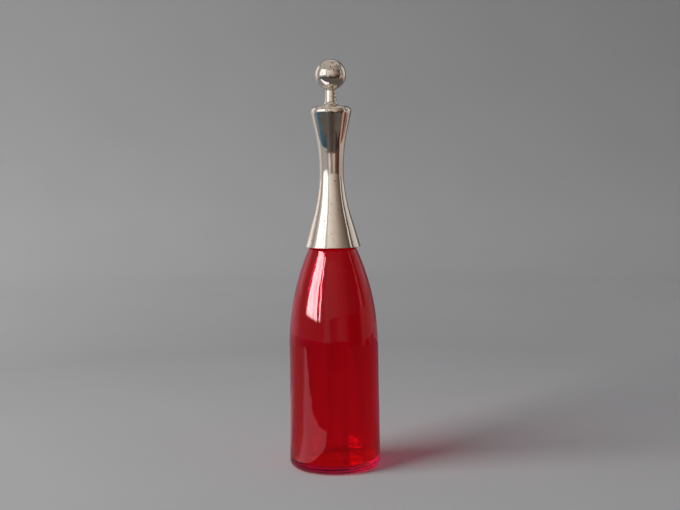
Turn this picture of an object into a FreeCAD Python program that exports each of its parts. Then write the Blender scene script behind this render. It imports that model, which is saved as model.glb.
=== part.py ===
import FreeCAD, Part
import math
import os

# A ruby glass carafe. A spun silver-plated collar covers its neck, and a ball
# stopper stands in the mouth. Everything is turned about the Z axis, the base
# stands on z = 0, and lengths are in millimetres.

# Glass body
body_radius = 40.5         # outside, at the foot of the shoulder
foot_spread = 1.3          # how much wider the wall would be on the ground
shoulder_height = 112.0    # where the straight wall turns into the shoulder
glass_wall = 2.6
floor_thickness = 6.0
base_round = 8.0           # outer corner between wall and underside
well_round = 5.5           # inner corner between wall and floor
neck_bend = 60.0           # radius of the bend from shoulder to neck
lip_round = 0.8

# Collar
skirt_height = 202.3       # lower edge of the skirt above the ground
skirt_radius = 25.4
skirt_overhang = 4.7       # from the skirt's outer edge in to the glass
skirt_straight = 30.0      # conical stretch above the skirt's edge
skirt_length = 68.8        # skirt edge to waist
waist_radius = 11.0
cup_length = 57.1          # waist to flat top
cup_straight = 13.7        # conical stretch below the rim
rim_radius = 18.6
rim_round = 5.0
metal_wall = 0.9

# Stopper
ball_radius = 14.15
stem_radius = 4.7
stem_height = 13.5         # collar top to the lowest point of the whole ball
stem_foot_height = 10.5    # height over which the stem spreads
foot_edge = 0.5            # upright edge under that spread
ball_fillet = 0.8          # between ball and stem
plug_length = 15.0
plug_round = 1.5

# Fits
neck_clearance = 0.3       # glass neck in the collar's waist
mouth_cover = 0.4          # how far the collar's top reaches over the bore
plug_clearance = 0.3       # plug in the collar's mouth
foot_seat = 1.2            # width of the ring that the stopper rests on

# Sizes that follow from the ones above
waist_height = skirt_height + skirt_length
collar_top = waist_height + cup_length
lip_height = collar_top - metal_wall
neck_radius = waist_radius - metal_wall - neck_clearance
bore_radius = neck_radius - glass_wall
mouth_radius = bore_radius - mouth_cover
plug_radius = mouth_radius - plug_clearance
foot_radius = mouth_radius + foot_seat
ball_height = collar_top + stem_height + ball_radius


def at(radius, height):
    """A point of the half section that is turned about the Z axis."""
    return FreeCAD.Vector(radius, 0, height)


def towards(start, end, distance):
    """The point at a distance from start, on the way to end."""
    return start + (end - start).normalize() * distance


def line(start, end):
    return Part.makeLine(start, end)


def arc(centre, start, end):
    """The shorter arc about a centre, from start to end."""
    radius = start.distanceToPoint(centre)
    middle = towards(centre, (start + end) / 2, radius)
    return Part.Arc(start, middle, end).toShape()


def turned(edges):
    """The solid that a closed half section makes about the Z axis."""
    face = Part.Face(Part.Wire(edges))
    return face.revolve(at(0, 0), FreeCAD.Vector(0, 0, 1), 360)


def flare(spread, length, straight=0.0):
    """The arc that starts upright and runs into a straight of a given length.

    Together they reach sideways by spread and along the axis by length.
    Returns the angle that the arc turns, and its radius.
    """
    angle = 2 * math.atan(spread / (length + straight))
    radius = (length - straight * math.cos(angle)) / math.sin(angle)
    return angle, radius


def glass_side(inset, floor, corner):
    """The glass from the middle of its floor up to the lip.

    It runs through a corner, a slightly hollow wall, a shoulder, a bend and
    an upright neck, all tangent. The inner face is inset by the wall, and
    apart from the corner it shares the outer face's centres.
    """
    wall_bend = flare(foot_spread, shoulder_height)[1]
    wall_centre = at(body_radius + wall_bend, shoulder_height)
    covered_radius = skirt_radius - skirt_overhang
    shoulder_length = skirt_height - shoulder_height
    shoulder_bend = flare(body_radius - covered_radius, shoulder_length)[1]
    shoulder_centre = at(body_radius - shoulder_bend, shoulder_height)

    corner_reach = wall_bend + inset + corner
    corner_drop = shoulder_height - floor - corner
    corner_across = math.sqrt(corner_reach ** 2 - corner_drop ** 2)
    corner_centre = at(wall_centre.x - corner_across, floor + corner)

    bend_across = neck_radius + neck_bend - shoulder_centre.x
    bend_up = math.sqrt((shoulder_bend + neck_bend) ** 2 - bend_across ** 2)
    bend_centre = at(neck_radius + neck_bend, shoulder_height + bend_up)

    floor_end = at(corner_centre.x, floor)
    wall_start = towards(wall_centre, corner_centre, wall_bend + inset)
    wall_end = at(body_radius - inset, shoulder_height)
    shoulder_end = towards(shoulder_centre, bend_centre, shoulder_bend - inset)
    neck_start = at(neck_radius - inset, bend_centre.z)
    neck_end = at(neck_radius - inset, lip_height - lip_round)
    return [
        line(at(0, floor), floor_end),
        arc(corner_centre, floor_end, wall_start),
        arc(wall_centre, wall_start, wall_end),
        arc(shoulder_centre, wall_end, shoulder_end),
        arc(bend_centre, shoulder_end, neck_start),
        line(neck_start, neck_end),
    ]


def glass_body():
    """The hollow carafe, with a thick floor and a rounded lip."""
    outer = glass_side(0.0, 0.0, base_round)
    inner = glass_side(glass_wall, floor_thickness, well_round)
    lip_foot = lip_height - lip_round
    outer_lip = at(neck_radius - lip_round, lip_height)
    inner_lip = at(bore_radius + lip_round, lip_height)
    lip = [
        arc(at(outer_lip.x, lip_foot), at(neck_radius, lip_foot), outer_lip),
        line(outer_lip, inner_lip),
        arc(at(inner_lip.x, lip_foot), inner_lip, at(bore_radius, lip_foot)),
    ]
    middle = [line(at(0, floor_thickness), at(0, 0))]
    return turned(outer + lip + inner[::-1] + middle)


def collar_side(inset):
    """The collar from its skirt up to its mouth, at an inset from its outer face.

    A cone bends up into the waist, which bends out into the cup, whose cone
    runs up to a rounded rim and a flat top.
    """
    skirt_angle, skirt_bend = flare(skirt_radius - waist_radius, skirt_length, skirt_straight)
    skirt_centre = at(waist_radius + skirt_bend, waist_height)
    skirt_normal = at(math.cos(skirt_angle), math.sin(skirt_angle))

    # The cup's cone runs a rim's rounding outside a parallel line, and that
    # line ends at the centre of the rounding.
    rim_centre = at(rim_radius - rim_round, collar_top - rim_round)
    parallel_spread = rim_centre.x - (waist_radius - rim_round)
    cup_angle, parallel_bend = flare(parallel_spread, cup_length - rim_round, cup_straight)
    cup_bend = parallel_bend - rim_round
    cup_centre = at(waist_radius + cup_bend, waist_height)
    cup_normal = at(math.cos(cup_angle), -math.sin(cup_angle))

    edge = at(skirt_radius, skirt_height) - skirt_normal * inset
    skirt_end = skirt_centre - skirt_normal * (skirt_bend + inset)
    waist = at(waist_radius - inset, waist_height)
    cup_start = cup_centre - cup_normal * (cup_bend + inset)
    rim_start = rim_centre + cup_normal * (rim_round - inset)
    rim_end = at(rim_centre.x, collar_top - inset)
    return [
        line(edge, skirt_end),
        arc(skirt_centre, skirt_end, waist),
        arc(cup_centre, waist, cup_start),
        line(cup_start, rim_start),
        arc(rim_centre, rim_start, rim_end),
        line(rim_end, at(mouth_radius, collar_top - inset)),
    ]


def collar():
    """The spun shell, with a round lower edge and a plain mouth."""
    outer = collar_side(0.0)
    inner = collar_side(metal_wall)
    outer_edge = outer[0].Vertexes[0].Point
    inner_edge = inner[0].Vertexes[0].Point
    skirt_end = outer[0].Vertexes[1].Point
    downwards = (outer_edge - skirt_end).normalize()
    lowest = (outer_edge + inner_edge) / 2 + downwards * (metal_wall / 2)
    hem = [Part.Arc(inner_edge, lowest, outer_edge).toShape()]
    mouth = [line(at(mouth_radius, collar_top), at(mouth_radius, lip_height))]
    return turned(hem + outer + mouth + inner[::-1])


def stopper():
    """A ball on a spreading stem, over a plug that hangs in the neck."""
    ball_centre = at(0, ball_height)
    fillet_across = stem_radius + ball_fillet
    fillet_down = math.sqrt((ball_radius + ball_fillet) ** 2 - fillet_across ** 2)
    fillet_centre = at(fillet_across, ball_height - fillet_down)
    ball_top = at(0, ball_height + ball_radius)
    ball_end = towards(ball_centre, fillet_centre, ball_radius)
    stem_top = at(stem_radius, fillet_centre.z)

    foot_top = at(foot_radius, collar_top + foot_edge)
    spread_top = at(stem_radius, foot_top.z + stem_foot_height)
    spread = Part.Ellipse(foot_top, spread_top, at(foot_top.x, spread_top.z))

    foot = at(foot_radius, collar_top)
    plug_top = at(plug_radius, collar_top)
    plug_end = at(plug_radius - plug_round, collar_top - plug_length)
    plug_side = at(plug_radius, plug_end.z + plug_round)
    middle = at(0, plug_end.z)
    return turned([
        arc(ball_centre, ball_top, ball_end),
        arc(fillet_centre, ball_end, stem_top),
        line(stem_top, spread_top),
        Part.ArcOfEllipse(spread, 0, math.pi / 2).toShape(),
        line(foot_top, foot),
        line(foot, plug_top),
        line(plug_top, plug_side),
        arc(at(plug_end.x, plug_side.z), plug_side, plug_end),
        line(plug_end, middle),
        line(middle, ball_top),
    ])


os.makedirs("parts", exist_ok=True)
for piece in (glass_body, collar, stopper):
    piece().exportStep("parts/" + piece.__name__ + ".step")
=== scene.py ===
import math

import bpy
from mathutils import Matrix, Vector


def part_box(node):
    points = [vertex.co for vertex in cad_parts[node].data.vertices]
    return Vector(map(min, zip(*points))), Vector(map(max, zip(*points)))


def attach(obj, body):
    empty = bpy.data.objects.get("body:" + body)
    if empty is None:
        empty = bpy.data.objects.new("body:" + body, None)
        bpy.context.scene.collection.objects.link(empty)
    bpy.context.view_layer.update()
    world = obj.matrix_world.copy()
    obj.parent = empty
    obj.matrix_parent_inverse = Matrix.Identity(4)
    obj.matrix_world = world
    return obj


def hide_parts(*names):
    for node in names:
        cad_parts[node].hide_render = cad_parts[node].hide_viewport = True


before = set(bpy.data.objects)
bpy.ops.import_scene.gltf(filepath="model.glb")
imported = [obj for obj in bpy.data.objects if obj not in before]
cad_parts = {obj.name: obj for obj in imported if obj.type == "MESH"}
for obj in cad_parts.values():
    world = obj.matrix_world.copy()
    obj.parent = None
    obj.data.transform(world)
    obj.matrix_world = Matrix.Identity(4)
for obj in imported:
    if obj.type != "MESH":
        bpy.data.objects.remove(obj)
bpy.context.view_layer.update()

bl_info = {
    "name": "Ruby Glass Carafe",
    "version": (1, 0, 0),
    "blender": (4, 5, 0),
    "location": "View3D > Sidebar > Carafe",
    "description": "Dresses the carafe's frame in ruby glass and polished silver plate",
    "category": "Object",
}

GLASS_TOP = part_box("glass_body")[1].z
COLLAR_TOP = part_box("collar")[1].z
PLUG_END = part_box("stopper")[0].z
BALL_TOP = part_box("stopper")[1].z
BALL_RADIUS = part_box("stopper")[1].x

# The room that glass and metal reflect, painted on glowing cards that show only in reflections, so
# its bright and dark patches are painted reflections. Each stop is a bearing left of the camera in
# degrees and a colour, and a last 0 lets the card fade out there.
CLEAR = (0.5, 0.47, 0.44)
DARK = (0.11, 0.10, 0.09)
PANE = (1.0, 0.98, 0.94)
BAR = (0.55, 0.53, 0.50)
FRINGE = (0.042, 0.041, 0.039)      # softens the edges of the window
WINDOW = (
    (30.5, FRINGE, 0.0), (34.0, FRINGE), (35.5, FRINGE), (36.0, PANE), (38.5, PANE), (39.5, FRINGE),
    (45.0, FRINGE), (46.0, PANE), (52.0, PANE), (53.0, BAR), (54.0, PANE), (60.0, BAR),
    (62.0, PANE), (69.0, PANE), (70.5, BAR), (72.0, PANE), (81.5, PANE), (82.5, FRINGE),
    (84.5, FRINGE), (89.0, FRINGE, 0.0),
)
ROOM_MIDDLE = (
    (-174.0, DARK, 0.0), (-170.0, DARK), (-146.0, DARK), (-138.0, (0.30, 0.27, 0.25)),
    (-131.0, (0.72, 0.67, 0.62)), (-120.0, (0.58, 0.53, 0.49)), (-104.0, (0.46, 0.42, 0.39)),
    (-98.0, (0.10, 0.075, 0.06)), (-90.0, (0.10, 0.075, 0.06)), (-87.0, (0.85, 0.78, 0.70)),
    (-84.0, (0.85, 0.78, 0.70)), (-81.0, (0.10, 0.075, 0.06)), (-72.0, (0.10, 0.075, 0.06)),
    (-50.0, (0.20, 0.16, 0.13)), (-34.0, (0.34, 0.27, 0.22)), (-20.0, (0.50, 0.42, 0.36)),
    (-6.0, (0.60, 0.52, 0.45)), (10.0, (0.72, 0.66, 0.60)), (22.0, (0.78, 0.72, 0.66)),
    (29.0, (0.42, 0.39, 0.35)), (88.0, (0.50, 0.46, 0.43)), (97.0, (0.28, 0.24, 0.21)),
    (108.0, (0.50, 0.46, 0.42)), (118.0, (0.95, 0.89, 0.83)), (128.0, (0.95, 0.89, 0.83)),
    (138.0, (0.45, 0.43, 0.42)), (152.0, CLEAR, 0.0),
)
ROOM_HIGH = (
    (-140.0, CLEAR, 0.0), (-90.0, (0.20, 0.16, 0.13)), (-40.0, (0.33, 0.28, 0.24)),
    (20.0, (0.42, 0.38, 0.33)), (90.0, (0.42, 0.38, 0.35)), (140.0, CLEAR, 0.0),
)
ROOM_LOW = (
    (-174.0, DARK, 0.0), (-170.0, DARK), (-148.0, DARK), (-138.0, (0.28, 0.24, 0.22)),
    (-125.0, (0.42, 0.36, 0.33)), (-96.0, (0.44, 0.35, 0.32)), (-82.0, (0.46, 0.38, 0.35)),
    (-73.0, (0.06, 0.035, 0.028)), (-46.0, (0.10, 0.05, 0.03)), (-36.0, (0.20, 0.11, 0.08)),
    (-26.0, (0.52, 0.43, 0.38)), (-16.0, (0.46, 0.38, 0.33)), (-6.0, (0.24, 0.19, 0.16)),
    (7.0, (0.28, 0.23, 0.20)), (13.0, (0.70, 0.63, 0.58)), (22.0, (0.66, 0.60, 0.56)),
    (30.0, (0.30, 0.27, 0.26)), (55.0, (0.36, 0.34, 0.33)), (100.0, (0.34, 0.31, 0.29)),
    (114.0, (0.60, 0.56, 0.53)), (134.0, (0.55, 0.52, 0.50)), (150.0, CLEAR, 0.0),
)
FLOOR_LIT = (
    (50.0, (1.25, 1.2, 1.3)), (77.0, (1.35, 1.3, 1.4)), (83.0, (0.50, 0.47, 0.44)),
    (92.0, (0.30, 0.28, 0.26)), (118.0, (0.24, 0.22, 0.21)), (136.0, (0.45, 0.42, 0.40)),
)
FLOOR_FAR = (
    (-140.0, CLEAR, 0.0), (-127.0, (0.40, 0.33, 0.31)), (-122.0, (0.12, 0.09, 0.08)),
    (-112.0, (0.12, 0.09, 0.08)), (-108.0, (0.34, 0.23, 0.20)), (-99.0, (0.14, 0.045, 0.03)),
    (-88.0, (0.16, 0.05, 0.035)), (-84.0, (0.48, 0.28, 0.24)), (-77.0, (0.42, 0.25, 0.21)),
    (-69.0, (0.04, 0.02, 0.012)), (-42.0, (0.04, 0.028, 0.024)), (-28.0, (0.11, 0.078, 0.064)),
    (-14.0, (0.06, 0.046, 0.041)), (5.0, (0.07, 0.057, 0.052)), (22.0, (0.12, 0.107, 0.10)),
    (38.0, (0.085, 0.085, 0.085)), (48.0, (0.04, 0.05, 0.065)), (56.0, (0.03, 0.075, 0.115)),
    (86.0, (0.05, 0.13, 0.20)), (94.0, (0.18, 0.20, 0.21)), (112.0, (0.24, 0.22, 0.20)),
    (130.0, CLEAR, 0.0),
)
CEILING = ((0.0, (0.46, 0.41, 0.36)), (1.0, (0.46, 0.41, 0.36)))
FLOOR_NEAR = ((0.0, (0.11, 0.096, 0.08)), (1.0, (0.11, 0.096, 0.08)))

ROOM_RADIUS = 1.45
ROOM_EDGE = 1.6             # of the square floor and ceiling
ROOM_HEIGHT = 2.7
NEAR_EDGE = 0.8             # of the floor close to the carafe
FLOOR_CARDS = 0.003         # height of the floor cards above the paper
WINDOW_RADIUS = 1.42
WINDOW_SILL = 0.255
WINDOW_TOP = 1.32
WINDOW_STRENGTH = 30.0      # as smooth glass reflects it
WINDOW_ON_METAL = (1.3, 1.28, 1.27)     # the most that metal is shown of it
SILL_FADE = 0.06            # height over which the window gains its strength
SILL_SHARE = 1 / 25         # of the strength that is left at the sill

LAMP_TARGET = Vector((0.0, 0.0, 0.2))
SENSOR_WIDTH = 36.0         # millimetres, as is the lens
LENS = 68.8


def length(name, default, description):
    """A size property in metres."""
    return bpy.props.FloatProperty(
        name=name, description=description, default=default, min=0.0, precision=5,
        subtype="DISTANCE", unit="LENGTH",
    )


def colour(name, default, description):
    """A linear RGB colour."""
    return bpy.props.FloatVectorProperty(
        name=name, description=description, default=default, min=0.0, max=1.0,
        size=3, subtype="COLOR",
    )


def angle(name, degrees, description):
    """An angle, given in degrees and kept in radians."""
    return bpy.props.FloatProperty(
        name=name, description=description, default=math.radians(degrees),
        subtype="ANGLE", unit="ROTATION",
    )


class GlassSettings(bpy.types.PropertyGroup):
    """Sizes and colours of the glass body."""

    body_radius: length("Body Radius", 0.0405, "Outside, at the foot of the shoulder")
    foot_spread: length("Foot Spread", 0.0013, "How much wider the wall would be on the ground")
    shoulder_height: length("Shoulder Height", 0.112, "Where the straight wall turns inwards")
    covered_radius: length("Covered Radius", 0.0207, "Outside, level with the skirt's edge")
    wall: length("Wall", 0.0026, "Thickness of the glass wall")
    floor: length("Floor", 0.006, "Thickness of the glass floor")
    base_round: length("Base Round", 0.008, "Outer corner between wall and underside")
    well_round: length("Well Round", 0.0055, "Inner corner between wall and floor")
    neck_radius: length("Neck Radius", 0.0098, "Outside of the neck inside the collar")
    neck_bend: length("Neck Bend", 0.06, "Radius of the bend from shoulder to neck")
    lip_round: length("Lip Round", 0.0008, "Rounding of the lip")
    skin_wave: length("Skin Wave", 0.00025, "Depth of the slow waves in both faces")
    wave_length: length("Wave Length", 0.019, "Size of the waves left by blowing")
    ruby: colour("Ruby", (1.0, 0.0, 0.1), "Tint of the glass at each face")


class CollarSettings(bpy.types.PropertyGroup):
    """Sizes of the spun collar."""

    skirt_height: length("Skirt Height", 0.2023, "Lower edge of the skirt above the ground")
    skirt_radius: length("Skirt Radius", 0.0254, "Outside of the skirt's edge")
    skirt_straight: length("Skirt Straight", 0.03, "Conical stretch above that edge")
    skirt_length: length("Skirt Length", 0.0688, "Skirt edge to waist")
    waist_radius: length("Waist Radius", 0.011, "Outside of the waist")
    cup_straight: length("Cup Straight", 0.0137, "Conical stretch below the rim")
    rim_radius: length("Rim Radius", 0.0186, "Outside of the rim")
    rim_round: length("Rim Round", 0.005, "Rounding of the rim")
    mouth_radius: length("Mouth Radius", 0.0068, "Hole that the stopper's plug goes in")
    dents: length("Dents", 0.00014, "Depth of the shallow unevenness left by spinning")
    dent_size: length("Dent Size", 0.012, "Size of that unevenness")


class StopperSettings(bpy.types.PropertyGroup):
    """Sizes of the stopper."""

    ball_fillet: length("Ball Fillet", 0.0008, "Rounding between ball and stem")
    stem_radius: length("Stem Radius", 0.0047, "The stem at its thinnest")
    foot_radius: length("Foot Radius", 0.008, "Where the stem meets the collar")
    foot_height: length("Foot Height", 0.0105, "Height over which the stem spreads")
    foot_edge: length("Foot Edge", 0.0005, "Upright edge under that spread")
    plug_radius: length("Plug Radius", 0.0065, "The plug in the neck")
    plug_round: length("Plug Round", 0.0015, "Rounding of the plug's end")
    silver: colour("Silver", (0.90, 0.85, 0.79), "Clean polished plate")
    tarnish: colour("Tarnish", (0.13, 0.085, 0.06), "Plate dulled by age")


class StageSettings(bpy.types.PropertyGroup):
    """The studio round the carafe, and the camera."""

    paper: colour("Paper", (0.275, 0.275, 0.285), "Floor")
    backdrop: colour("Backdrop", (0.38, 0.38, 0.39), "The paper far from the carafe")
    # Painted light: the far paper is painted paler on the window's side.
    painted_window_light: colour("Window Side", (0.63, 0.63, 0.64), "The same, nearer the window")
    cove_radius: length("Cove Radius", 2.4, "From the carafe to the backdrop")
    cove_bend: length("Cove Bend", 0.7, "Bend between floor and backdrop")
    cove_height: length("Cove Height", 2.8, "Top of the backdrop")
    camera_distance: length("Camera Distance", 1.172, "Level distance from the carafe's axis")
    camera_height: length("Camera Height", 0.296, "Above the floor")
    camera_pitch: angle("Camera Pitch", 4.98, "How far the camera looks down")
    camera_yaw: angle("Camera Yaw", 0.325, "How far it looks to the carafe's right")
    camera_roll: angle("Camera Roll", -0.73, "How far it leans")


# ---------------------------------------------------------------- outlines

def at(radius, height):
    """A point of the half section that is spun about the Z axis."""
    return Vector((radius, 0.0, height))


def towards(start, end, distance):
    """The point at a distance from start, on the way to end."""
    return start + (end - start).normalized() * distance


def flare(spread, run, straight=0.0):
    """Angle and radius of the arc that starts upright and ends in a straight.

    Together they reach sideways by spread and along the axis by run.
    """
    turn = 2 * math.atan(spread / (run + straight))
    return turn, (run - straight * math.cos(turn)) / math.sin(turn)


def run_to(outline, end, spacing):
    """Adds a straight to an outline, in steps of about the spacing."""
    start = outline[-1]
    steps = max(1, round((end - start).length / spacing))
    outline.extend(start.lerp(end, step / steps) for step in range(1, steps + 1))


def bend_to(outline, centre, end, spacing, least=4):
    """Adds the shorter arc about a centre, in steps of about the spacing."""
    first = outline[-1] - centre
    last = end - centre
    turn = first.angle(last)
    axis = first.cross(last).normalized()
    steps = max(least, round(turn * first.length / spacing))
    for step in range(1, steps + 1):
        outline.append(centre + Matrix.Rotation(turn * step / steps, 3, axis) @ first)


def glass_side(sizes, inset, floor, corner, spacing):
    """The glass from the middle of its floor up to the lip, at an inset."""
    wall_bend = flare(sizes.foot_spread, sizes.shoulder_height)[1]
    wall_centre = at(sizes.body_radius + wall_bend, sizes.shoulder_height)
    skirt_rise = bpy.context.scene.carafe_collar.skirt_height - sizes.shoulder_height
    shoulder_bend = flare(sizes.body_radius - sizes.covered_radius, skirt_rise)[1]
    shoulder_centre = at(sizes.body_radius - shoulder_bend, sizes.shoulder_height)

    corner_reach = wall_bend + inset + corner
    corner_drop = sizes.shoulder_height - floor - corner
    corner_across = math.sqrt(corner_reach ** 2 - corner_drop ** 2)
    corner_centre = at(wall_centre.x - corner_across, floor + corner)

    bend_across = sizes.neck_radius + sizes.neck_bend - shoulder_centre.x
    bend_up = math.sqrt((shoulder_bend + sizes.neck_bend) ** 2 - bend_across ** 2)
    bend_centre = at(sizes.neck_radius + sizes.neck_bend, sizes.shoulder_height + bend_up)

    side = [at(0.0, floor)]
    run_to(side, at(corner_centre.x, floor), spacing)
    wall_start = towards(wall_centre, corner_centre, wall_bend + inset)
    bend_to(side, corner_centre, wall_start, spacing / 2, least=10)
    bend_to(side, wall_centre, at(sizes.body_radius - inset, sizes.shoulder_height), spacing)
    shoulder_end = towards(shoulder_centre, bend_centre, shoulder_bend - inset)
    bend_to(side, shoulder_centre, shoulder_end, spacing)
    bend_to(side, bend_centre, at(sizes.neck_radius - inset, bend_centre.z), spacing)
    run_to(side, at(sizes.neck_radius - inset, GLASS_TOP - sizes.lip_round), 2 * spacing)
    return side


def glass_outline(sizes):
    """The whole half section of the glass, from its underside to its inner floor."""
    spacing = 0.0022
    outline = glass_side(sizes, 0.0, 0.0, sizes.base_round, spacing)
    inner = glass_side(sizes, sizes.wall, sizes.floor, sizes.well_round, spacing)
    lip_foot = outline[-1].z
    outer_lip = at(sizes.neck_radius - sizes.lip_round, GLASS_TOP)
    inner_lip = at(inner[-1].x + sizes.lip_round, GLASS_TOP)
    bend_to(outline, at(outer_lip.x, lip_foot), outer_lip, spacing)
    run_to(outline, inner_lip, spacing)
    bend_to(outline, at(inner_lip.x, lip_foot), inner[-1], spacing)
    return outline + inner[-2::-1]


def collar_side(sizes, inset, spacing):
    """The collar from its skirt up to its mouth, at an inset from its outer face."""
    waist_height = sizes.skirt_height + sizes.skirt_length
    skirt_turn, skirt_bend = flare(
        sizes.skirt_radius - sizes.waist_radius, sizes.skirt_length, sizes.skirt_straight)
    skirt_centre = at(sizes.waist_radius + skirt_bend, waist_height)
    skirt_normal = at(math.cos(skirt_turn), math.sin(skirt_turn))

    rim_centre = at(sizes.rim_radius - sizes.rim_round, COLLAR_TOP - sizes.rim_round)
    parallel_spread = rim_centre.x - (sizes.waist_radius - sizes.rim_round)
    cup_turn, parallel_bend = flare(
        parallel_spread, rim_centre.z - waist_height, sizes.cup_straight)
    cup_bend = parallel_bend - sizes.rim_round
    cup_centre = at(sizes.waist_radius + cup_bend, waist_height)
    cup_normal = at(math.cos(cup_turn), -math.sin(cup_turn))

    side = [at(sizes.skirt_radius, sizes.skirt_height) - skirt_normal * inset]
    run_to(side, skirt_centre - skirt_normal * (skirt_bend + inset), spacing)
    bend_to(side, skirt_centre, at(sizes.waist_radius - inset, waist_height), spacing)
    bend_to(side, cup_centre, cup_centre - cup_normal * (cup_bend + inset), spacing)
    run_to(side, rim_centre + cup_normal * (sizes.rim_round - inset), spacing)
    bend_to(side, rim_centre, at(rim_centre.x, COLLAR_TOP - inset), spacing / 2, least=12)
    run_to(side, at(sizes.mouth_radius, COLLAR_TOP - inset), spacing)
    return side


def collar_outline(sizes):
    """The closed half section of the collar, whose lower edge is a half round."""
    spacing = 0.0018
    metal = COLLAR_TOP - GLASS_TOP
    outer = collar_side(sizes, 0.0, spacing)
    inner = collar_side(sizes, metal, spacing)
    middle = (outer[0] + inner[0]) / 2
    lowest = middle + (outer[0] - outer[1]).normalized() * (metal / 2)
    hem = [inner[0]]
    bend_to(hem, middle, lowest, spacing)
    bend_to(hem, middle, outer[0], spacing)
    return hem[:-1] + outer + inner[::-1]


def stopper_outline(sizes):
    """The half section of the stopper, from the top of its ball to its plug's end."""
    spacing = 0.0009
    ball_centre = at(0.0, BALL_TOP - BALL_RADIUS)
    fillet_across = sizes.stem_radius + sizes.ball_fillet
    fillet_down = math.sqrt((BALL_RADIUS + sizes.ball_fillet) ** 2 - fillet_across ** 2)
    fillet_centre = at(fillet_across, ball_centre.z - fillet_down)

    outline = [at(0.0, BALL_TOP)]
    bend_to(outline, ball_centre, towards(ball_centre, fillet_centre, BALL_RADIUS), spacing)
    bend_to(outline, fillet_centre, at(sizes.stem_radius, fillet_centre.z), spacing)

    spread_top = COLLAR_TOP + sizes.foot_edge + sizes.foot_height
    run_to(outline, at(sizes.stem_radius, spread_top), spacing)
    spread = sizes.foot_radius - sizes.stem_radius
    steps = 16
    for step in range(1, steps + 1):
        turn = math.pi / 2 * step / steps
        across = sizes.foot_radius - spread * math.cos(turn)
        outline.append(at(across, spread_top - sizes.foot_height * math.sin(turn)))

    run_to(outline, at(sizes.foot_radius, COLLAR_TOP), spacing)
    run_to(outline, at(sizes.plug_radius, COLLAR_TOP), spacing)
    plug_side = at(sizes.plug_radius, PLUG_END + sizes.plug_round)
    run_to(outline, plug_side, 2 * spacing)
    round_centre = at(sizes.plug_radius - sizes.plug_round, plug_side.z)
    bend_to(outline, round_centre, at(round_centre.x, PLUG_END), spacing)
    run_to(outline, at(0.0, PLUG_END), 2 * spacing)
    return outline


# --------------------------------------------------------------- modelling

def spin(name, outline, steps, closed=False):
    """Draws an outline by extruding one point along it, and spins it about Z."""
    bpy.ops.object.select_all(action="DESELECT")
    bpy.ops.mesh.primitive_plane_add(size=0.001, location=outline[0])
    piece = bpy.context.object
    piece.name = name
    piece.data.name = name
    bpy.ops.object.transform_apply(location=True, rotation=True, scale=True)
    bpy.ops.object.mode_set(mode="EDIT")
    bpy.ops.mesh.select_all(action="SELECT")
    bpy.ops.mesh.merge(type="CENTER")
    ends = list(zip(outline, outline[1:]))
    if closed:
        ends.append((outline[-1], outline[0]))
    for start, end in ends:
        bpy.ops.mesh.extrude_region_move(TRANSFORM_OT_translate={"value": end - start})
    bpy.ops.mesh.select_all(action="SELECT")
    bpy.ops.mesh.spin(steps=steps, angle=2 * math.pi, center=(0, 0, 0), axis=(0, 0, 1))
    bpy.ops.mesh.select_all(action="SELECT")
    bpy.ops.mesh.remove_doubles(threshold=0.00001)
    bpy.ops.mesh.normals_make_consistent(inside=False)
    bpy.ops.object.mode_set(mode="OBJECT")
    bpy.ops.object.shade_smooth()
    return piece


def unevenness(piece, depth, size):
    """Sinks slow waves of a given depth and size into a piece, never outwards."""
    clouds = bpy.data.textures.new(piece.name + "_waves", "CLOUDS")
    clouds.noise_scale = size
    clouds.noise_depth = 1
    waves = piece.modifiers.new("Waves", "DISPLACE")
    waves.texture = clouds
    waves.texture_coords = "LOCAL"
    waves.mid_level = 1.0
    waves.strength = depth
    bpy.context.view_layer.objects.active = piece
    bpy.ops.object.modifier_apply(modifier=waves.name)


def finish_piece(piece, material, node):
    """Gives a piece its finish and seats it on the frame in place of its CAD node."""
    piece.data.materials.clear()
    piece.data.materials.append(material)
    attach(piece, "root")
    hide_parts(node)


# --------------------------------------------------------------- materials

def add_node(tree, kind, inputs=(), **options):
    """Adds a shader node. Its inputs are given values, or sockets to link."""
    made = tree.nodes.new(kind)
    for option, value in options.items():
        setattr(made, option, value)
    for name, value in dict(inputs).items():
        if isinstance(value, bpy.types.NodeSocket):
            tree.links.new(value, made.inputs[name])
        else:
            made.inputs[name].default_value = value
    return made


def calculate(tree, operation, *values):
    """The result of a Math node."""
    return add_node(tree, "ShaderNodeMath", dict(enumerate(values)),
                    operation=operation).outputs[0]


def parts_of(tree, place):
    """The X, Y and Z sockets of a place."""
    return add_node(tree, "ShaderNodeSeparateXYZ", {"Vector": place}).outputs


def show(tree, shader):
    """Makes a shader node the surface of its material."""
    add_node(tree, "ShaderNodeOutputMaterial", {"Surface": shader.outputs[0]})


def new_material(name):
    """An empty material, its node tree and the Object coordinates."""
    material = bpy.data.materials.new(name)
    material.use_nodes = True
    tree = material.node_tree
    tree.nodes.clear()
    place = add_node(tree, "ShaderNodeTexCoord").outputs["Object"]
    return material, tree, place


def noise(tree, place, scale, detail=2.0, roughness=0.5):
    """A noise value from 0 to 1 at a scale in features per metre."""
    return add_node(tree, "ShaderNodeTexNoise", {
        "Vector": place, "Scale": scale, "Detail": detail, "Roughness": roughness,
    }).outputs["Fac"]


def axis_distance(tree, place):
    """Level distance from the Z axis."""
    level = add_node(tree, "ShaderNodeMapping", {"Vector": place, "Scale": (1.0, 1.0, 0.0)})
    return add_node(tree, "ShaderNodeVectorMath", {0: level.outputs["Vector"]},
                    operation="LENGTH").outputs["Value"]


def remap(tree, value, low, high, to_low, to_high):
    """A value moved from one range to another, and held inside it."""
    return add_node(tree, "ShaderNodeMapRange", {
        "Value": value, "From Min": low, "From Max": high,
        "To Min": to_low, "To Max": to_high,
    }, clamp=True).outputs["Result"]


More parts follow.
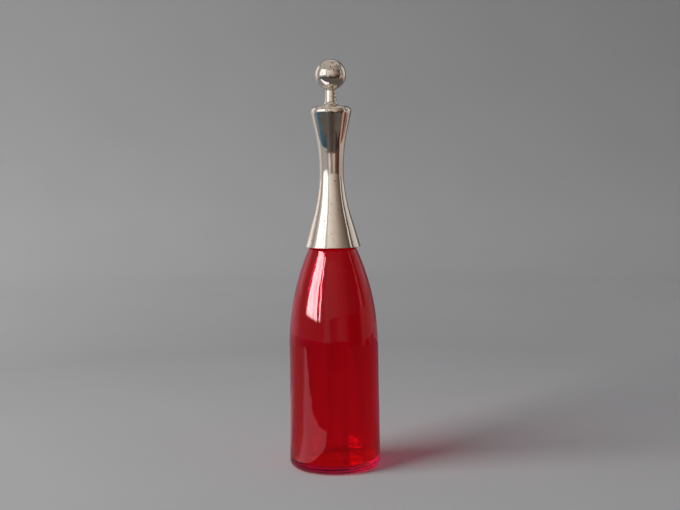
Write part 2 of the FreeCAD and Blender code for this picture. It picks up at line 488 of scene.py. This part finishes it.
def blend_colours(tree, factor, first, second):
    """The first colour turning into the second as the factor rises."""
    def filled(tint):
        return tint if isinstance(tint, bpy.types.NodeSocket) else (*tint, 1.0)

    return add_node(tree, "ShaderNodeMix", {
        0: factor, 6: filled(first), 7: filled(second),
    }, data_type="RGBA").outputs[2]


def bump(tree, height, distance, normal=None):
    """A surface normal leaning with a height from 0 to 1, distance high."""
    inputs = {"Height": height, "Distance": distance}
    if normal:
        inputs["Normal"] = normal
    return add_node(tree, "ShaderNodeBump", inputs).outputs["Normal"]


def ruby_glass(sizes):
    """Red blown glass, drawn upwards, with colour that drifts a little."""
    material, tree, place = new_material("blown_ruby")
    drawn = add_node(tree, "ShaderNodeMapping", {
        "Vector": place, "Scale": (1.0, 1.0, 0.1),
    }).outputs["Vector"]
    streaks = remap(tree, noise(tree, drawn, 75.0), 0.38, 0.6, 0.0, 1.0)
    deeper = tuple(0.88 * part for part in sizes.ruby)
    tint = blend_colours(tree, streaks, deeper, sizes.ruby)
    drawn_lines = bump(tree, noise(tree, drawn, 240.0), 0.0001)
    ripple = bump(tree, noise(tree, place, 90.0, 1.0), 0.00006, normal=drawn_lines)
    glass = add_node(tree, "ShaderNodeBsdfPrincipled", {
        "Base Color": tint, "Roughness": 0.0, "Normal": ripple,
        "IOR": 1.5, "Specular Tint": (1.0, 0.52, 0.56, 1.0),
        "Transmission Weight": 1.0,
    })
    # Painted shadow colour, fitted to the window lamp: shadow rays are tinted deeply on the side
    # away from the window, where 1.9 X + Y is positive, and lightly on the window's side. They pass
    # the flat floor unchanged, which paints light on the paper under the base.
    parts = parts_of(tree, place)
    above_base = remap(tree, parts["Z"], 0.0062, 0.009, 0.0, 1.0)
    off_middle = remap(tree, axis_distance(tree, place), 0.033, 0.036, 0.0, 1.0)
    off_floor = calculate(tree, "MAXIMUM", above_base, off_middle)
    far_side = calculate(tree, "MULTIPLY_ADD", parts["X"], 1.9, parts["Y"])
    away_from_window = remap(tree, far_side, -0.02, 0.02, 0.0, 1.0)
    lamp_side_shadow_tint = blend_colours(tree, away_from_window, (0.80, 0.60, 0.60), (0.16, 0.365, 0.365))
    cast = blend_colours(tree, off_floor, (1.0, 1.0, 1.0), lamp_side_shadow_tint)
    through = add_node(tree, "ShaderNodeBsdfTransparent", {"Color": cast})
    shadow_ray = add_node(tree, "ShaderNodeLightPath").outputs["Is Shadow Ray"]
    skin = add_node(tree, "ShaderNodeMixShader", {
        0: shadow_ray, 1: glass.outputs[0], 2: through.outputs[0],
    })
    show(tree, skin)
    return material


def silver_plate(name, sizes):
    """Polished plate: warm, finely wiped, with specks and a little old tarnish."""
    material, tree, place = new_material(name)
    film = remap(tree, noise(tree, place, 45.0, 3.0), 0.45, 0.8, 0.0, 0.2)
    # Specks gather in patches from the collar's rim up, and evenly on the
    # ball, on the side that is turned away from the window.
    parts = parts_of(tree, place)
    height = parts["Z"]
    near_top = remap(tree, height, COLLAR_TOP - 0.014, COLLAR_TOP - 0.007, 0.0, 1.0)
    below_ball = remap(tree, height, COLLAR_TOP + 0.006, COLLAR_TOP + 0.018, 0.18, 0.09)
    patches = remap(tree, noise(tree, place, 60.0), 0.38, 0.58, 0.0, 1.0)
    patches = calculate(tree, "MULTIPLY", patches, below_ball)
    on_ball = remap(tree, height, COLLAR_TOP + 0.016, BALL_TOP - 0.012, 0.0, 0.075)
    spread = calculate(tree, "MULTIPLY_ADD", patches, near_top, on_ball)
    off_window = remap(tree, parts["X"], -0.009, 0.001, 0.0, 1.0)
    grain = noise(tree, place, 520.0, 1.0)
    speckle = calculate(tree, "MULTIPLY_ADD", spread, off_window, grain)
    pitted = remap(tree, speckle, 0.72, 0.76, 0.0, 1.0)
    dulled = calculate(tree, "MAXIMUM", film, pitted)
    tint = blend_colours(tree, dulled, sizes.silver, sizes.tarnish)
    wiped = remap(tree, noise(tree, place, 240.0, 4.0, 0.65), 0.3, 0.8, 0.03, 0.09)
    rough = calculate(tree, "MULTIPLY_ADD", pitted, 0.25, wiped)
    lie = bump(tree, noise(tree, place, 130.0), 0.00006)
    metal = add_node(tree, "ShaderNodeBsdfPrincipled", {
        "Base Color": tint, "Roughness": rough, "Normal": lie, "Metallic": 1.0,
    })
    show(tree, metal)
    return material


def studio_paper(settings):
    """Plain matt paper with a faint mottle, and painted light: paler towards the backdrop, where
    the lamp's light falls off, and paler still there on the window's side.
    """
    material, tree, place = new_material("studio_paper")
    # Painted light: the paper is painted paler on the window's side, and paler far from the carafe,
    # where the lamp's light falls off.
    across = remap(tree, parts_of(tree, place)["X"], -1.3, 1.1, 0.0, 1.0)
    backdrop = blend_colours(tree, across, settings.painted_window_light, settings.backdrop)
    distance = remap(tree, axis_distance(tree, place), 0.7, 2.1, 0.0, 1.0)
    tint = blend_colours(tree, distance, settings.paper, backdrop)
    mottled = add_node(tree, "ShaderNodeMix", {
        0: noise(tree, place, 6.0, 4.0), 6: tint, 7: (0.94, 0.94, 0.94, 1.0),
    }, data_type="RGBA", blend_type="MULTIPLY").outputs[2]
    paper = add_node(tree, "ShaderNodeBsdfDiffuse", {"Color": mottled, "Roughness": 0.6})
    show(tree, paper)
    return material


def room_light(name, stops, strength=1.0, waver=0.0, narrowing=0.0, sill=None, cap=None):
    """What a card shows by its bearing from the carafe, in stops as above.

    The bearings waver by a share of a full turn, and may draw in towards the
    first stop by a share for each metre up. Above a sill the card gains its
    strength gradually. With a cap, only faces as smooth as glass reflect
    more light than that.
    """
    material, tree, place = new_material(name)
    turned = add_node(tree, "ShaderNodeMapping", {
        "Vector": place, "Scale": (-1.0, 1.0, 1.0), "Rotation": (0.0, 0.0, math.pi / 2),
    }).outputs["Vector"]
    bearing = add_node(tree, "ShaderNodeTexGradient", {"Vector": turned},
                       gradient_type="RADIAL").outputs["Fac"]
    bearing = calculate(tree, "MULTIPLY_ADD", noise(tree, place, 5.0, 3.0), waver, bearing)
    positions = [0.5 + stop[0] / 360 + waver / 2 for stop in stops]
    height = parts_of(tree, place)["Z"]
    if narrowing:
        widened = calculate(tree, "MULTIPLY_ADD", height, narrowing, 1.0)
        aside = calculate(tree, "SUBTRACT", bearing, positions[0])
        bearing = calculate(tree, "MULTIPLY_ADD", aside, widened, positions[0])
    ramp = add_node(tree, "ShaderNodeValToRGB", {"Fac": bearing})
    marks = ramp.color_ramp.elements
    marks[0].position = positions[0]
    marks[1].position = positions[-1]
    for position in positions[1:-1]:
        marks.new(position)
    for mark, (left, tint, *cover) in zip(marks, stops):
        mark.color = (*tint, *(cover or (1.0,)))
    light = ramp.outputs["Color"]
    if sill:
        strength = remap(tree, height, sill, sill + SILL_FADE, strength * SILL_SHARE, strength)
    if cap:
        full = add_node(tree, "ShaderNodeVectorMath", {0: light, "Scale": strength},
                        operation="SCALE").outputs["Vector"]
        capped = add_node(tree, "ShaderNodeVectorMath", {0: full, 1: cap},
                          operation="MINIMUM").outputs["Vector"]
        smooth = add_node(tree, "ShaderNodeLightPath").outputs["Is Singular Ray"]
        light = blend_colours(tree, smooth, capped, full)
        strength = 1.0
    glow = add_node(tree, "ShaderNodeEmission", {"Color": light, "Strength": strength})
    clear = add_node(tree, "ShaderNodeBsdfTransparent")
    show(tree, add_node(tree, "ShaderNodeMixShader", {
        0: ramp.outputs["Alpha"], 1: clear.outputs[0], 2: glow.outputs[0],
    }))
    material.cycles.emission_sampling = "NONE"
    return material


# ------------------------------------------------------------------- stage

def softbox(name, left, up, distance, width, height, power, tint):
    """A rectangular lamp that shines at the carafe, unseen by the camera.

    Seen from the carafe it stands left of the camera and up, in degrees.
    """
    turn = math.radians(left)
    rise = math.radians(up)
    level = math.cos(rise)
    out = Vector((-math.sin(turn) * level, -math.cos(turn) * level, math.sin(rise)))
    place = LAMP_TARGET + out * distance
    aim = (LAMP_TARGET - place).to_track_quat("-Z", "Y").to_euler()
    bpy.ops.object.light_add(type="AREA", location=place, rotation=aim)
    lamp = bpy.context.object
    lamp.name = name
    lamp.data.shape = "RECTANGLE"
    lamp.data.size = width
    lamp.data.size_y = height
    lamp.data.energy = power
    lamp.data.color = tint
    lamp.visible_camera = False
    lamp.visible_glossy = False


def only_reflected(card, material):
    """Makes a card that shows in glass and metal, and nowhere else."""
    card.data.materials.append(material)
    card.visible_camera = False
    card.visible_diffuse = False
    card.visible_transmission = False
    card.visible_shadow = False


def wall_card(name, radius, low, high, stops, **options):
    """A reflected band of wall round the carafe, from one height to another."""
    card = spin(name, [at(radius, low), at(radius, high)], steps=72)
    only_reflected(card, room_light(name, stops, **options))


def flat_card(name, left, right, front, back, height, stops):
    """A reflected piece of floor or ceiling between four edges."""
    bpy.ops.object.select_all(action="DESELECT")
    middle = ((left + right) / 2, (front + back) / 2, height)
    bpy.ops.mesh.primitive_plane_add(size=1.0, location=middle)
    card = bpy.context.object
    card.name = name
    card.scale = (right - left, back - front, 1.0)
    bpy.ops.object.transform_apply(location=True, rotation=True, scale=True)
    only_reflected(card, room_light(name, stops))


def cove(settings):
    """A round floor that bends up into a backdrop on every side."""
    radius = settings.cove_radius
    bend = settings.cove_bend
    outline = [at(0.0, 0.0)]
    run_to(outline, at(radius - bend, 0.0), 0.1)
    bend_to(outline, at(radius - bend, bend), at(radius, bend), 0.05)
    run_to(outline, at(radius, settings.cove_height), 0.2)
    paper = spin("studio_cove", outline, steps=96)
    paper.data.materials.append(studio_paper(settings))


def camera(settings):
    """The camera in front of the carafe, looking along +Y and a little down."""
    place = Vector((0.0, -settings.camera_distance, settings.camera_height))
    bpy.ops.object.camera_add(location=place)
    seer = bpy.context.object
    seer.name = "camera"
    turn = Matrix.Rotation(-settings.camera_yaw, 4, "Z")
    tilt = Matrix.Rotation(math.pi / 2 - settings.camera_pitch, 4, "X")
    lean = Matrix.Rotation(settings.camera_roll, 4, "Z")
    seer.matrix_world = Matrix.Translation(place) @ turn @ tilt @ lean
    seer.data.sensor_width = SENSOR_WIDTH
    seer.data.lens = LENS
    seer.data.dof.use_dof = False
    bpy.context.scene.camera = seer


def sky(strength):
    """Even light from above, over the open top of the cove."""
    world = bpy.data.worlds.new("studio_sky")
    world.use_nodes = True
    background = world.node_tree.nodes["Background"]
    background.inputs["Color"].default_value = (0.96, 0.98, 1.0, 1.0)
    background.inputs["Strength"].default_value = strength
    bpy.context.scene.world = world


# --------------------------------------------------------------- operators

class CARAFE_OT_glass(bpy.types.Operator):
    """Spin the hollow glass body and give it the waves of blown glass"""

    bl_idname = "carafe.glass"
    bl_label = "Glass Body"

    def execute(self, context):
        sizes = context.scene.carafe_glass
        piece = spin("blown_glass", glass_outline(sizes), steps=176)
        unevenness(piece, sizes.skin_wave, sizes.wave_length)
        finish_piece(piece, ruby_glass(sizes), "glass_body")
        return {"FINISHED"}


class CARAFE_OT_collar(bpy.types.Operator):
    """Spin the metal collar with its rounded hem"""

    bl_idname = "carafe.collar"
    bl_label = "Collar"

    def execute(self, context):
        sizes = context.scene.carafe_collar
        piece = spin("spun_collar", collar_outline(sizes), steps=144, closed=True)
        unevenness(piece, sizes.dents, sizes.dent_size)
        material = silver_plate("collar_plate", context.scene.carafe_stopper)
        finish_piece(piece, material, "collar")
        return {"FINISHED"}


class CARAFE_OT_stopper(bpy.types.Operator):
    """Spin the ball, stem and plug of the stopper"""

    bl_idname = "carafe.stopper"
    bl_label = "Stopper"

    def execute(self, context):
        sizes = context.scene.carafe_stopper
        piece = spin("ball_stopper", stopper_outline(sizes), steps=112)
        material = silver_plate("stopper_plate", sizes)
        finish_piece(piece, material, "stopper")
        return {"FINISHED"}


class CARAFE_OT_stage(bpy.types.Operator):
    """Set up the paper, the camera, the light and the room that is reflected"""

    bl_idname = "carafe.stage"
    bl_label = "Studio"

    def execute(self, context):
        settings = context.scene.carafe_stage
        cove(settings)
        camera(settings)
        sky(strength=0.5)
        softbox("window_light", left=62.0, up=25.0, distance=1.7, width=1.35, height=1.05,
                power=50.0, tint=(1.0, 0.99, 0.96))
        wall_card("window", WINDOW_RADIUS, WINDOW_SILL, WINDOW_TOP, WINDOW,
                  strength=WINDOW_STRENGTH, waver=0.014, narrowing=0.2,
                  sill=WINDOW_SILL, cap=WINDOW_ON_METAL)
        wall_card("room_low", ROOM_RADIUS, 0.0, 0.32, ROOM_LOW, waver=0.006)
        wall_card("room_middle", ROOM_RADIUS, 0.32, 1.3, ROOM_MIDDLE, waver=0.01)
        wall_card("room_high", ROOM_RADIUS, 1.3, ROOM_HEIGHT, ROOM_HIGH)
        far, near, low = ROOM_EDGE, NEAR_EDGE, FLOOR_CARDS
        flat_card("ceiling", -far, far, -far, far, ROOM_HEIGHT, CEILING)
        flat_card("floor_near", -near, near, -0.6, -0.05, low, FLOOR_NEAR)
        flat_card("floor_shaded", 0.06, near, -0.05, 0.7, low, FLOOR_NEAR)
        flat_card("floor_lit", -near, -0.06, -0.2, 0.3, low + 0.001, FLOOR_LIT)
        flat_card("floor_far", -far, far, -far, -0.6, low, FLOOR_FAR)
        flat_card("floor_left", -far, -near, -0.6, 0.7, low, FLOOR_FAR)
        flat_card("floor_right", near, far, -0.6, 0.7, low, FLOOR_FAR)
        # Light meets many faces in the base's round rim before it leaves.
        context.scene.cycles.glossy_bounces = 48
        context.scene.cycles.transmission_bounces = 48
        context.scene.cycles.max_bounces = 64
        return {"FINISHED"}


class CARAFE_PT_sidebar(bpy.types.Panel):
    """The carafe's pieces, one button each"""

    bl_label = "Carafe"
    bl_idname = "CARAFE_PT_sidebar"
    bl_space_type = "VIEW_3D"
    bl_region_type = "UI"
    bl_category = "Carafe"

    def draw(self, context):
        for operator in OPERATORS:
            self.layout.operator(operator.bl_idname)


SETTINGS = {
    "carafe_glass": GlassSettings,
    "carafe_collar": CollarSettings,
    "carafe_stopper": StopperSettings,
    "carafe_stage": StageSettings,
}
OPERATORS = (CARAFE_OT_glass, CARAFE_OT_collar, CARAFE_OT_stopper, CARAFE_OT_stage)


def register():
    for kind in (*SETTINGS.values(), *OPERATORS, CARAFE_PT_sidebar):
        bpy.utils.register_class(kind)
    for name, kind in SETTINGS.items():
        setattr(bpy.types.Scene, name, bpy.props.PointerProperty(type=kind))


def unregister():
    for name in SETTINGS:
        delattr(bpy.types.Scene, name)
    for kind in (CARAFE_PT_sidebar, *reversed(OPERATORS), *reversed(SETTINGS.values())):
        bpy.utils.unregister_class(kind)


def main():
    register()
    bpy.ops.carafe.glass()
    bpy.ops.carafe.collar()
    bpy.ops.carafe.stopper()
    bpy.ops.carafe.stage()
    bpy.context.scene.view_settings.view_transform = "Standard"


if __name__ == "__main__":
    main()
